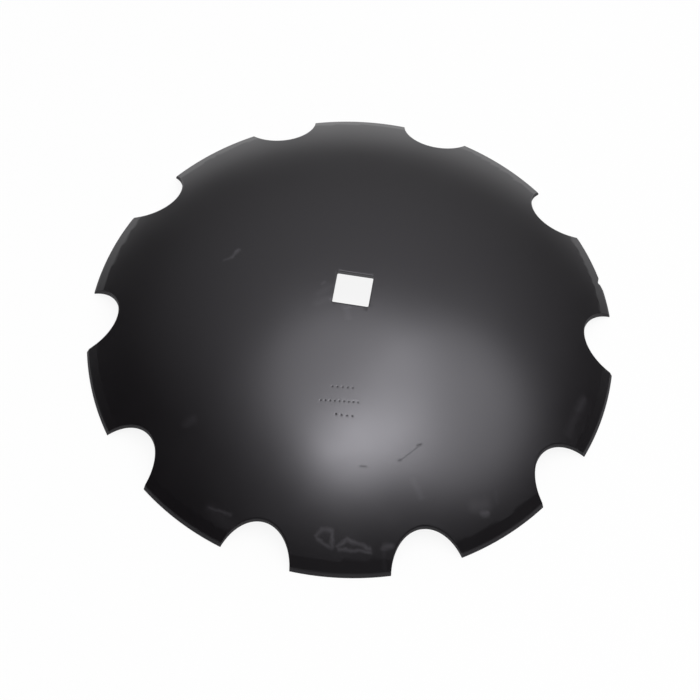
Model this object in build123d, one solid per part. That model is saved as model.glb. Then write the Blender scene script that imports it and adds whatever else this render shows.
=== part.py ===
from build123d import *
import os
from math import hypot, sqrt

# A notched harrow disc blade: one round of steel plate, pressed into a shallow dish, with
# scallops punched in its rim, a cutting edge ground on the domed side and a square axle hole.
# It lies domed side up on its cutting edge. +Z is the blade's axis, the origin lies below the
# middle of the axle hole on the plane of the cutting edge, and the hole's sides run along X and Y.
# All lengths are in millimetres and all angles in degrees.

# Plate and dish
rim_radius = 305.0
plate = 6.0
hollow_depth = 97.0  # from the plane of the cutting edge up to the hollow side

# Cutting edge, ground on the domed side: a wide shallow band, then a narrow steep one at the rim
bevel_width = 12.0  # both bands together, measured square to the axis
edge_width = 3.0  # the steep band alone
edge_top = 8.5  # height at which the steep band starts
edge_land = 2.5  # height of the narrow wall left at the rim

# Notches, punched along the axis with an oval punch that is a little longer than wide
notch_count = 10
notch_depth = 37.0  # from the rim inwards
notch_half_width = 43.0
notch_half_length = 53.0
notch_turn = 7.0  # first notch, counter-clockwise from +X

# Axle hole
hole_side = 41.0
hole_corner = 1.5  # radius in its corners

# Edges rounded over by the punches, on the domed side
notch_round = 1.2
hole_round = 0.6

# Small nick knocked in the cutting edge
nick_turn = 23.9  # its deepest point, counter-clockwise from +X
nick_depth = 3.0
nick_short_flank = 2.5  # along the rim, on the counter-clockwise side
nick_long_flank = 7.5  # along the rim, on the clockwise side
nick_root = 0.8  # radius at its deepest point

# Both faces of the plate are spheres about one centre, which lies below the blade
hollow_sphere = (rim_radius**2 + hollow_depth**2) / (2 * hollow_depth)
domed_sphere = hollow_sphere + plate
centre_height = hollow_depth - hollow_sphere
blade_height = hollow_depth + plate


def on_sphere(sphere, radius):
    """Point of the half section, at a radius from the axis, on one face of the plate."""
    return (radius, centre_height + sqrt(sphere**2 - radius**2))


def through(outline):
    """Punch of a given outline that passes right through the blade along its axis."""
    return Pos(0, 0, -plate) * extrude(outline, blade_height + 2 * plate)


def domed_edges(blade, inner, outer):
    """Edges on the domed face whose middles lie between two radii from the axis."""
    centre = Vector(0, 0, centre_height)
    middle_sphere = hollow_sphere + plate / 2

    def wanted(edge):
        middle = edge @ 0.5
        return inner < hypot(middle.X, middle.Y) < outer and (middle - centre).length > middle_sphere

    return blade.edges().filter_by(wanted)


def dished_plate():
    """The round blank, pressed to its dish, with its rim still square."""
    hollow_top = on_sphere(hollow_sphere, 0)
    domed_top = on_sphere(domed_sphere, 0)
    hollow_rim = on_sphere(hollow_sphere, rim_radius)
    domed_rim = on_sphere(domed_sphere, rim_radius)
    section = make_face([
        Line(hollow_top, domed_top),
        ThreePointArc(domed_top, on_sphere(domed_sphere, rim_radius / 2), domed_rim),
        Line(domed_rim, hollow_rim),
        ThreePointArc(hollow_rim, on_sphere(hollow_sphere, rim_radius / 2), hollow_top),
    ])
    return revolve(Plane.XZ * section, Axis.Z)


def notch_punches():
    """Oval punches in a ring, as deep into the rim as the notches are."""
    punch_circle = rim_radius - notch_depth + notch_half_length
    punch = through(Ellipse(notch_half_length, notch_half_width))
    return PolarLocations(punch_circle, notch_count, notch_turn) * punch


def axle_punch():
    """Square punch with rounded corners, along X and Y."""
    return through(RectangleRounded(hole_side, hole_side, hole_corner))


def grinding_ring():
    """What the grinder takes off the domed side of the rim to leave the cutting edge."""
    shoulder = Vector(*on_sphere(domed_sphere, rim_radius - bevel_width))
    knee = Vector(rim_radius - edge_width, edge_top)
    edge = Vector(rim_radius, edge_land)
    start = shoulder - (knee - shoulder) / 2
    end = edge + (edge - knee) / 2
    wedge = Polyline(start, knee, end, (end.X, start.Y), close=True)
    return revolve(Plane.XZ * make_face(wedge), Axis.Z)


def nick_tool():
    """Lopsided wedge on the rim, with its rounded point inwards."""
    clear = 1 + nick_depth
    reach = clear / nick_depth
    root = (-nick_depth, 0)
    upper = (-nick_depth + clear, reach * nick_short_flank)
    lower = (-nick_depth + clear, -reach * nick_long_flank)
    wedge = make_face(Polyline(root, upper, lower, close=True))
    point = wedge.vertices().sort_by(Axis.X)[0]
    return Rot(0, 0, nick_turn) * Pos(rim_radius, 0, 0) * through(fillet(point, nick_root))


blade = dished_plate() - notch_punches()
notch_reach = rim_radius - notch_depth / 2
blade = fillet(domed_edges(blade, 0, notch_reach), notch_round)
blade -= axle_punch()
blade = fillet(domed_edges(blade, 0, hole_side), hole_round)
blade -= grinding_ring()
blade -= nick_tool()

os.makedirs("parts", exist_ok=True)
export_step(blade, "parts/disc_blade.step")
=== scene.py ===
from math import cos, hypot, pi, radians, sin, sqrt

import bmesh
import bpy
from mathutils import Matrix, Vector


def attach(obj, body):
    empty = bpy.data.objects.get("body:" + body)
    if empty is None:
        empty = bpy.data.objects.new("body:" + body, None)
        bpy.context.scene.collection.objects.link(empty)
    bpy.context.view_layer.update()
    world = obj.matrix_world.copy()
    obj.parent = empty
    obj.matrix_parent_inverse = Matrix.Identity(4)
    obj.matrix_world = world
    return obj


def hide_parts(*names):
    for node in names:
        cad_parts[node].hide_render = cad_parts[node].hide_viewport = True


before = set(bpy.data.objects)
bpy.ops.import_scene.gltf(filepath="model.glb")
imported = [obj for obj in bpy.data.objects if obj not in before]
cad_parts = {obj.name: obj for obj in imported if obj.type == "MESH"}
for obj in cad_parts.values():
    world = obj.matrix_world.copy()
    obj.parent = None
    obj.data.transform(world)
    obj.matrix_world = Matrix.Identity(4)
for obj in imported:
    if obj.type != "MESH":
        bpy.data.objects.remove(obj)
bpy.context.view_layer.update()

# ---------------------------------------------------------------------------------------------
# Blade. One round of hardened steel plate, punched while flat, pressed to a shallow dish, ground
# to a cutting edge on the domed side, stamped with rows of plain pips and dipped in black paint.
# It lies loose on its cutting edge.
# ---------------------------------------------------------------------------------------------
mm = 0.001
rim_radius = 305 * mm
plate = 6 * mm
hollow_depth = 97 * mm

# Cutting edge: a wide shallow band, then a narrow steep one down to a small wall at the rim
bevel_width = 12 * mm
edge_width = 3 * mm
edge_top = 8.5 * mm
edge_land = 2.5 * mm

notch_count = 10
notch_depth = 37 * mm
notch_half_width = 43 * mm
notch_half_length = 53 * mm
notch_turn = radians(7)
notch_round = 1.2 * mm

hole_side = 41 * mm
hole_corner = 1.5 * mm
hole_round = 0.6 * mm

# Nick in the cutting edge, with its flanks measured along the rim. It is drawn deeper than in the
# solid, so that it shows past the knee of the edge.
nick_turn = radians(22.6)
nick_depth = 5.4 * mm
nick_upper_flank = 10.5 * mm
nick_lower_flank = 7 * mm
nick_root = 0.8 * mm

rim_steps = 720  # one corner of the rim each half degree
notch_steps = 124
ribbon = 2 * mm  # narrow strip of faces that follows every punched edge
grid = 6 * mm  # size of the faces between the ribbons
reach = 4 * plate  # length of a punch
hair = 0.05 * mm  # nearer than this, two places count as one

# What a face is can be told from the upward part of its normal
wall = 0.1  # less than this: a punched wall
steep = 0.6  # less than this: a wall, the steep band or the lower part of a rounding
side = 0.5  # more than this, while flat: one of the plate's sides
shallow = 0.7  # more than this: the wide band or one of the sides

# Both sides of the plate are spheres about one centre below the blade
hollow_sphere = (rim_radius**2 + hollow_depth**2) / (2 * hollow_depth)
domed_sphere = hollow_sphere + plate
centre_height = hollow_depth - hollow_sphere


def hold(*pieces):
    """Selects these pieces and nothing else, with the first one active."""
    bpy.ops.object.select_all(action="DESELECT")
    for piece in pieces:
        piece.select_set(True)
    bpy.context.view_layer.objects.active = pieces[0]


def added():
    """The piece that was just added, with its turn and scale worked into its mesh."""
    piece = bpy.context.object
    hold(piece)
    bpy.ops.object.transform_apply()
    return piece


def open_with(piece, kind, wanted):
    """Opens a piece in edit mode with its wanted faces ("FACE") or edges ("EDGE") selected."""
    hold(piece)
    bpy.ops.object.mode_set(mode="EDIT")
    bpy.ops.mesh.select_mode(type=kind)
    bpy.ops.mesh.select_all(action="DESELECT")
    mesh = bmesh.from_edit_mesh(piece.data)
    for element in mesh.faces if kind == "FACE" else mesh.edges:
        element.select = wanted(element)
    bpy.ops.mesh.select_mode(type=kind)
    bmesh.update_edit_mesh(piece.data)


def close():
    bpy.ops.object.mode_set(mode="OBJECT")


def cut(piece, *tools):
    """Takes the tools' shapes out of a piece and throws the tools away."""
    hold(*tools)
    if len(tools) > 1:
        bpy.ops.object.join()
    hold(piece)
    bpy.ops.object.modifier_add(type="BOOLEAN")
    modifier = piece.modifiers[-1]
    modifier.operation = "DIFFERENCE"
    modifier.solver = "EXACT"
    modifier.object = tools[0]
    bpy.ops.object.modifier_apply(modifier=modifier.name)
    bpy.data.objects.remove(tools[0])


def middle(edge):
    return (edge.verts[0].co + edge.verts[1].co) / 2


def on_domed(x, y):
    """The point of the domed side above a place in plan."""
    return Vector((x, y, centre_height + sqrt(domed_sphere**2 - x**2 - y**2)))


# Flat blank
bpy.ops.mesh.primitive_cylinder_add(vertices=rim_steps, radius=rim_radius, depth=plate)
blade = added()
blade.name = "blade"

# Oval notch punches and the square punch of the axle hole
punches = []
punch_circle = rim_radius - notch_depth + notch_half_length
for number in range(notch_count):
    turn = notch_turn + 2 * pi * number / notch_count
    bpy.ops.mesh.primitive_cylinder_add(
        vertices=notch_steps,
        radius=notch_half_length,
        depth=reach,
        location=(punch_circle * cos(turn), punch_circle * sin(turn), 0),
        rotation=(0, 0, turn),
        scale=(1, notch_half_width / notch_half_length, 1),
    )
    punches.append(added())
bpy.ops.mesh.primitive_cube_add(size=hole_side)
square = added()
open_with(square, "EDGE", lambda edge: abs(edge.verts[0].co.z - edge.verts[1].co.z) > hole_side / 2)
bpy.ops.mesh.bevel(offset=hole_corner, segments=4)
close()
cut(blade, square, *punches)

# A ribbon of even faces along every edge, on both sides of the plate
open_with(blade, "FACE", lambda face: abs(face.normal.z) > side)
bpy.ops.mesh.inset(thickness=ribbon, use_even_offset=True, use_boundary=True)

# A grid of faces inside the ribbons, so that the sides can be curved. It is cut line by line with
# bmesh, because the bisect operator takes minutes for as many lines.
mesh = bmesh.from_edit_mesh(blade.data)
inner = [face for face in mesh.faces if face.select]
lines = int(rim_radius / grid)
for heading in (Vector((1, 0, 0)), Vector((0, 1, 0))):
    for line in range(-lines, lines + 1):
        geometry = dict.fromkeys(inner)
        for face in inner:
            geometry.update(dict.fromkeys(face.edges))
            geometry.update(dict.fromkeys(face.verts))
        result = bmesh.ops.bisect_plane(
            mesh,
            geom=list(geometry),
            plane_co=heading * (line + 0.5) * grid,
            plane_no=heading,
            dist=hair,
        )
        inner = [element for element in result["geom"] if isinstance(element, bmesh.types.BMFace)]
bmesh.update_edit_mesh(blade.data)
close()


def punched(face):
    """A wall that a punch left: it is upright and isn't the rim."""
    return abs(face.normal.z) < wall and face.calc_center_median().xy.length < rim_radius - hair


def domed_edge(edge):
    """An edge between a punched wall and the side that will be domed."""
    walls = sorted(punched(face) for face in edge.link_faces)
    return walls == [False, True] and max(face.normal.z for face in edge.link_faces) > side


# Edges that the punches rounded over
open_with(blade, "EDGE", lambda edge: domed_edge(edge) and middle(edge).xy.length > hole_side)
bpy.ops.mesh.bevel(offset=notch_round, segments=4, clamp_overlap=False)
close()
open_with(blade, "EDGE", lambda edge: domed_edge(edge) and middle(edge).xy.length < hole_side)
bpy.ops.mesh.bevel(offset=hole_round, segments=3, clamp_overlap=False)
close()

# Pressing: every point keeps its place in plan and moves onto the die of its side. It is done point
# by point, because a Shrinkwrap takes minutes and leaves jagged faces along the edges.
for vertex in blade.data.vertices:
    spot = vertex.co
    die, level = (domed_sphere, plate / 2) if spot.z > 0 else (hollow_sphere, -plate / 2)
    spot.z += centre_height + sqrt(die**2 - spot.x**2 - spot.y**2) - level

# Grinding ring: a wedge turned about the axis, with the wide and the steep band of the edge below.
# Its corners are given as radius and height.
shoulder = Vector((rim_radius - bevel_width, on_domed(rim_radius - bevel_width, 0).z))
knee = Vector((rim_radius - edge_width, edge_top))
lip = Vector((rim_radius, edge_land))
start = shoulder - (knee - shoulder) / 2
end = lip + (lip - knee) / 2
bpy.ops.object.select_all(action="DESELECT")
bpy.ops.mesh.primitive_circle_add(vertices=rim_steps, radius=start.x, location=(0, 0, start.y))
grinder = added()
bpy.ops.object.mode_set(mode="EDIT")
bpy.ops.mesh.select_all(action="SELECT")
for near, far in ((start, knee), (knee, end)):
    bpy.ops.mesh.extrude_edges_move(TRANSFORM_OT_translate={"value": (0, 0, far.y - near.y)})
    bpy.ops.transform.resize(value=(far.x / near.x, far.x / near.x, 1))
bpy.ops.mesh.extrude_edges_move(TRANSFORM_OT_translate={"value": (0, 0, start.y - end.y)})
bpy.ops.mesh.select_non_manifold()
bpy.ops.mesh.bridge_edge_loops()
bpy.ops.mesh.select_all(action="SELECT")
bpy.ops.mesh.normals_make_consistent(inside=False)
close()
cut(blade, grinder)

# Nick in the cutting edge: a three-sided wedge with its point inwards and to one side
clear = 1 * mm
wedge_length = nick_depth + clear
wedge_width = (nick_upper_flank + nick_lower_flank) * wedge_length / nick_depth
lean = (nick_lower_flank - nick_upper_flank) / 2 * wedge_length / nick_depth
wedge_radius = wedge_length * 2 / 3
bpy.ops.mesh.primitive_cylinder_add(
    vertices=3,
    radius=wedge_radius,
    depth=reach,
    location=(rim_radius + clear - wedge_length / 3, -lean, 0),
    rotation=(0, 0, pi / 2),
    scale=(wedge_width / (sqrt(3) * wedge_radius), 1, 1),
)
wedge = added()
point = rim_radius - nick_depth + 2 * hair
open_with(wedge, "EDGE", lambda edge: max(vertex.co.x for vertex in edge.verts) < point)
bpy.ops.transform.translate(value=(0, lean, 0))
bpy.ops.mesh.bevel(offset=nick_root, segments=3)
close()
wedge.rotation_euler.z = nick_turn
bpy.ops.object.transform_apply()
cut(blade, wedge)

# Three rows of plain round pips, stamped with small cones between the hole and the rim
pip_radius = 1.9 * mm
pip_tip = 0.2 * mm
pip_depth = 0.7 * mm
pip_rows = (
    # middle of the row in plan, pips, pitch, turn
    (7.7 * mm, -118.6 * mm, 5, 5.6 * mm, radians(4.7)),
    (6.8 * mm, -134.4 * mm, 9, 5.1 * mm, radians(5.6)),
    (14.6 * mm, -148.6 * mm, 4, 6.0 * mm, radians(2.9)),
)
pips = []
for row_x, row_y, count, pitch, turn in pip_rows:
    for number in range(count):
        along = (number - (count - 1) / 2) * pitch
        spot = on_domed(row_x + along * cos(turn), row_y + along * sin(turn))
        outwards = spot - Vector((0, 0, centre_height))
        bpy.ops.mesh.primitive_cone_add(
            vertices=18,
            radius1=pip_tip,
            radius2=2 * pip_radius - pip_tip,
            depth=2 * pip_depth,
            location=spot,
            rotation=outwards.to_track_quat("Z", "Y").to_euler(),
        )
        pips.append(added())
cut(blade, *pips)


def on_lip(edge):
    """An edge between the steep band and the small wall at the rim."""
    for vertex in edge.verts:
        off = hypot(vertex.co.xy.length - lip.x, vertex.co.z - lip.y)
        if off > 2 * hair:
            return False
    return True


def on_wide_band(face):
    radius = face.calc_center_median().xy.length
    return face.normal.z > shallow and rim_radius - bevel_width < radius < rim_radius - edge_width


# Smooth sides with crisp edges. The lip is too blunt to be found by its angle.
hold(blade)
bpy.ops.object.shade_smooth_by_angle(angle=radians(30))
open_with(blade, "EDGE", on_lip)
bpy.ops.mesh.mark_sharp()
close()
bpy.ops.object.modifier_add(type="WEIGHTED_NORMAL")
blade.modifiers[-1].keep_sharp = True
bpy.ops.object.modifier_apply(modifier=blade.modifiers[-1].name)

# The wide band is flat and the steep one rolls over from it to the rim
open_with(blade, "FACE", on_wide_band)
bpy.ops.mesh.set_normals_from_faces(keep_sharp=True)
close()

# The paint is dull on the steep faces that the punches and the grinder left, but not inside the
# axle hole. It fades out over the steep band, from the lip up to the knee.
dull = []
for face in blade.data.polygons:
    in_hole = face.center.xy.length < hole_side and abs(face.normal.z) < wall
    rough = abs(face.normal.z) < steep and not in_hole
    ground = face.normal.z > wall and face.center.xy.length > knee.x
    for corner in face.vertices:
        above = (blade.data.vertices[corner].co.z - lip.y) / (knee.y - lip.y)
        dull.append(float(rough) * (1 - above if ground else 1))
blade.data.attributes.new("cut_face", "FLOAT", "CORNER").data.foreach_set("value", dull)


def linear(text):
    """A hex sRGB colour as linear red, green, blue and alpha."""
    channels = [int(text[first : first + 2], 16) / 255 for first in (1, 3, 5)]
    return [c / 12.92 if c <= 0.04045 else ((c + 0.055) / 1.055) ** 2.4 for c in channels] + [1]


def node(tree, kind, inputs=(), **settings):
    """Adds a node. An input is a value, or an output of another node, which is linked."""
    made = tree.nodes.new(kind)
    for name, value in settings.items():
        setattr(made, name, value)
    for socket, value in dict(inputs).items():
        if isinstance(value, bpy.types.NodeSocket):
            tree.links.new(value, made.inputs[socket])
        else:
            made.inputs[socket].default_value = value
    return made


# Satin black paint, dipped and baked on pressed steel: a near-black ground under a smooth skin
# that reflects softly, with faint orange peel, cloudy patches where it dried unevenly, dried
# water marks near the rim and a few rubs. One pale stroke among the marks is a painted highlight.
paint = bpy.data.materials.new("satin black paint")
paint.use_nodes = True
tree = paint.node_tree
shader = tree.nodes["Principled BSDF"]
place = node(tree, "ShaderNodeTexCoord").outputs["Object"]


def strokes(table, at):
    """Mask of soft straight strokes with round ends, laid on the blade in plan."""
    core = 0.1  # a stroke is at full strength out to this share of its half width
    fringe = 1.4  # and gone at this one
    tall = 1000  # so long upwards that only the place in plan counts
    mask = 0.0
    for x, y, length, width, turn, strength in table:
        local = node(tree, "ShaderNodeMapping", {
            "Vector": at,
            "Location": (x * mm, y * mm, 0),
            "Rotation": (0, 0, radians(turn)),
            "Scale": (width * mm, width * mm, tall),
        }, vector_type="TEXTURE")
        folded = node(tree, "ShaderNodeVectorMath", {0: local.outputs[0]}, operation="ABSOLUTE")
        beyond = node(tree, "ShaderNodeVectorMath", {
            0: folded.outputs[0], 1: (length / width, 0, 0),
        }, operation="SUBTRACT")
        outside = node(tree, "ShaderNodeVectorMath", {
            0: beyond.outputs[0], 1: (0, 0, 0),
        }, operation="MAXIMUM")
        away = node(tree, "ShaderNodeVectorMath", {0: outside.outputs[0]}, operation="LENGTH")
        stroke = node(tree, "ShaderNodeMapRange", {
            0: away.outputs["Value"], "From Min": fringe, "From Max": core, "To Min": 0, "To Max": strength,
        })
        mask = node(tree, "ShaderNodeMath", {0: mask, 1: stroke.outputs[0]}, operation="MAXIMUM").outputs[0]
    return mask


# Pale dried water marks and smears, and one painted highlight: x, y, half length, half width in mm,
# turn in degrees, strength
water_marks_and_highlight = (
    (8, -268, 4.4, 2.4, 52, 0.5),
    (15, -264, 4.9, 2.4, 0, 0.55),
    (23, -271, 7.4, 2.4, -79, 0.55),
    (15, -277, 8.6, 2.2, -19, 0.5),
    (34, -273, 6.1, 2.0, 44, 0.6),
    (52, -271, 13.3, 2.2, -11, 0.6),
    (49, -278, 17.3, 2.1, 5, 0.6),
    (65, -274, 1.1, 3.0, -49, 0.4),
    (83, -268, 4.9, 3.0, 19, 0.45),
    (81, -279, 9.6, 2.4, -78, 0.12),
    (175, -205, 6.9, 6.8, 24, 0.35),
    (182, -211, 2.4, 3.4, 28, 0.7),
    (192, -192, 5.3, 2.4, -74, 0.2),
    (272, -59, 8.0, 4.8, 75, 0.3),
    (265, -85, 13.3, 5.4, 74, 0.15),
    (-147, 28, 4.8, 2.2, 30, 0.5),
    (-141, 35, 5.5, 2.4, 58, 0.8),
    (-103, -258, 13.2, 2.1, -14, 0.4),
    (-100, -265, 16.2, 7.0, -29, 0.13),
    (-153, -170, 4.2, 4.8, 31, 0.2),
    # Painted highlight: a pale, duller stroke along the lower right edge of the light patch
    (105, -207, 8.7, 3.6, -50, 0.3),
    (-31, -7, 8.4, 4.8, 47, 0.25),
    (-29, -20, 7.6, 4.8, 28, 0.3),
    (-34, 2, 1.3, 1.9, 39, 0.5),
    (-22, -18, 1.7, 1.9, 8, 1.0),
    (-2, -31, 7.8, 3.6, -64, 0.45),
    (-2, -26, 2.8, 1.9, 22, 0.9),
)
# Dull scratches and scuffs, in the same order
scratches = (
    (92, -173, 14.1, 0.9, 47, 0.5),
    (100, -163, 2.3, 1.3, 29, 0.8),
    (82, -183, 1.3, 1.3, 28, 0.8),
    (44, -197, 3.2, 1.1, 6, 0.5),
    (19, -24, 2.5, 1.0, -81, 1.0),
)
# The outlines of the water marks and the painted highlight wander by a few millimetres, and their
# pale film is uneven
wander = node(tree, "ShaderNodeTexNoise", {"Vector": place, "Scale": 1 / (9 * mm), "Detail": 3})
centred = node(tree, "ShaderNodeVectorMath", {
    0: wander.outputs["Color"], 1: (0.5, 0.5, 0.5),
}, operation="SUBTRACT")
shift = node(tree, "ShaderNodeVectorMath", {0: centred.outputs[0], "Scale": 6 * mm}, operation="SCALE")
wavy = node(tree, "ShaderNodeVectorMath", {0: place, 1: shift.outputs[0]}, operation="ADD").outputs[0]
patches = node(tree, "ShaderNodeTexNoise", {"Vector": place, "Scale": 1 / (14 * mm), "Detail": 2})
thickness = node(tree, "ShaderNodeMapRange", {
    0: patches.outputs["Fac"], "From Min": 0.35, "From Max": 0.65, "To Min": 0.7, "To Max": 1,
})
film_and_highlight = node(tree, "ShaderNodeMath", {
    0: strokes(water_marks_and_highlight, wavy), 1: thickness.outputs[0],
}, operation="MULTIPLY").outputs[0]
colour = node(tree, "ShaderNodeMix", {
    "Factor": film_and_highlight, "A": linear("#0f0d0f"), "B": linear("#38363a"),
}, data_type="RGBA")
tree.links.new(colour.outputs["Result"], shader.inputs["Base Color"])

# Cloudy gloss, duller under the water marks, the painted highlight and the scratches, and
# dullest on the cut faces
film_dulls = 0.12
scratch_dulls = 0.3
clouds = node(tree, "ShaderNodeTexNoise", {"Vector": place, "Scale": 1 / (70 * mm), "Detail": 3})
roughness = node(tree, "ShaderNodeMapRange", {
    0: clouds.outputs["Fac"], "From Min": 0.3, "From Max": 0.7, "To Min": 0.28, "To Max": 0.315,
}).outputs[0]
for mask, dulls in ((film_and_highlight, film_dulls), (strokes(scratches, place), scratch_dulls)):
    roughness = node(tree, "ShaderNodeMath", {
        0: mask, 1: dulls, 2: roughness,
    }, operation="MULTIPLY_ADD").outputs[0]
cut_face = node(tree, "ShaderNodeAttribute", attribute_name="cut_face").outputs["Fac"]
roughness = node(tree, "ShaderNodeMapRange", {
    0: cut_face, "From Min": 0, "From Max": 1, "To Min": roughness, "To Max": 0.85,
}).outputs[0]
tree.links.new(roughness, shader.inputs["Roughness"])

# Orange peel, drawn coarser than on real paint, where it would be too fine to show
ripple = node(tree, "ShaderNodeTexNoise", {"Vector": place, "Scale": 1 / (2.5 * mm), "Detail": 1})
peel = node(tree, "ShaderNodeBump", {
    "Strength": 0.1, "Distance": 0.05 * mm, "Height": ripple.outputs["Fac"],
})
tree.links.new(peel.outputs["Normal"], shader.inputs["Normal"])

# The skin's shine: a little stronger than a plain varnish, with the faint violet cast of the photo
shader.inputs["IOR"].default_value = 1.6
shader.inputs["Specular Tint"].default_value = linear("#f9f7ff")
blade.data.materials.clear()
blade.data.materials.append(paint)

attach(blade, "root")
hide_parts("disc_blade")

# ---------------------------------------------------------------------------------------------
# Floor. A plain white table top. It shows white to the camera and in the paint, and keeps a share
# of matt white, so that the blade's soft shadow stays on it.
# ---------------------------------------------------------------------------------------------
floor_size = 60.0
white_share = 0.9
bpy.ops.object.select_all(action="DESELECT")
bpy.ops.mesh.primitive_plane_add(size=floor_size)
floor = bpy.context.object
floor.name = "floor"
table = bpy.data.materials.new("matt white table top")
table.use_nodes = True
tree = table.node_tree
tree.nodes.clear()
matt = node(tree, "ShaderNodeBsdfDiffuse", {"Color": linear("#e6e6e6")})
white = node(tree, "ShaderNodeEmission", {"Color": linear("#ffffff"), "Strength": 1})
rays = node(tree, "ShaderNodeLightPath").outputs
seen = rays["Is Camera Ray"]
for ray in ("Is Glossy Ray", "Is Transmission Ray"):
    seen = node(tree, "ShaderNodeMath", {0: seen, 1: rays[ray]}, operation="MAXIMUM").outputs[0]
share = node(tree, "ShaderNodeMath", {0: seen, 1: white_share}, operation="MULTIPLY")
top = node(tree, "ShaderNodeMixShader", {0: share.outputs[0], 1: matt.outputs[0], 2: white.outputs[0]})
node(tree, "ShaderNodeOutputMaterial", {"Surface": top.outputs[0]})
floor.data.materials.append(table)

# ---------------------------------------------------------------------------------------------
# Studio light. Two large soft panels side by side overhead, one smaller lamp a little to the front
# and three fills lower down, in a dark room that is brighter above and behind the blade.
# ---------------------------------------------------------------------------------------------
camera_turn = radians(6.82)
lamp_distance = 6.0
lamps = (
    # name, to the right, away from the camera, angular radius in degrees, radiance
    ("lamp", 0.022, -0.26, 8.5, 9.8),
    ("panel_middle", 0.003, 0.076, 21.7, 2.13),
    ("panel_right", 0.434, 0.0, 22.6, 2.35),
    ("fill_left", -0.314, -0.301, 18.3, 0.15),
    ("fill_right", 0.265, -0.187, 9.0, 2.72),
    ("fill_front", 0.0, -0.7, 30.0, 0.06),
)
across = Vector((cos(camera_turn), sin(camera_turn), 0))
away = Vector((-sin(camera_turn), cos(camera_turn), 0))
for name, to_right, to_back, spread, radiance in lamps:
    towards = to_right * across + to_back * away
    towards.z = sqrt(1 - to_right**2 - to_back**2)
    bpy.ops.object.light_add(
        type="AREA",
        location=towards * lamp_distance,
        rotation=towards.to_track_quat("Z", "Y").to_euler(),
    )
    lamp = bpy.context.object
    lamp.name = name
    lamp.data.shape = "DISK"
    disk_radius = lamp_distance * sin(radians(spread)) / cos(radians(spread))
    lamp.data.size = 2 * disk_radius
    lamp.data.energy = radiance * pi * (pi * disk_radius**2)

# The room's brightness rises with height and towards the back, from almost black
room_rise = 0.088 * across + 0.94 * away + Vector((0, 0, 1.376))
room_dark = 0.857
room_least = 0.01
world = bpy.data.worlds.new("studio room")
bpy.context.scene.world = world
world.use_nodes = True
tree = world.node_tree
background = tree.nodes["Background"]
direction = node(tree, "ShaderNodeTexCoord").outputs["Generated"]
rise = node(tree, "ShaderNodeVectorMath", {0: direction, 1: room_rise}, operation="DOT_PRODUCT")
lowered = node(tree, "ShaderNodeMath", {0: rise.outputs["Value"], 1: room_dark}, operation="SUBTRACT")
brightness = node(tree, "ShaderNodeMath", {0: lowered.outputs[0], 1: room_least}, operation="MAXIMUM")
background.inputs["Color"].default_value = linear("#ffffff")
tree.links.new(brightness.outputs[0], background.inputs["Strength"])

# ---------------------------------------------------------------------------------------------
# Camera. It looks down at the domed side from a little to the right, 60 degrees above the floor.
# ---------------------------------------------------------------------------------------------
picture = 700
focal_pixels = 1861.0
sensor = 36
camera_height = radians(59.97)
camera_roll = radians(2.75)
camera_distance = 7.095 * rim_radius
aim_up = -0.0571 * rim_radius
back = -cos(camera_height) * away
back.z = sin(camera_height)
up = back.cross(across)
right_rolled = cos(camera_roll) * across + sin(camera_roll) * up
up_rolled = cos(camera_roll) * up - sin(camera_roll) * across
bpy.ops.object.camera_add(location=back * camera_distance + up * aim_up)
camera = bpy.context.object
camera.rotation_euler = Matrix((right_rolled, up_rolled, back)).transposed().to_euler()
camera.data.sensor_width = sensor
camera.data.lens = focal_pixels / picture * sensor
camera.data.clip_start = 0.1
bpy.context.scene.camera = camera
bpy.context.scene.view_settings.view_transform = "Standard"
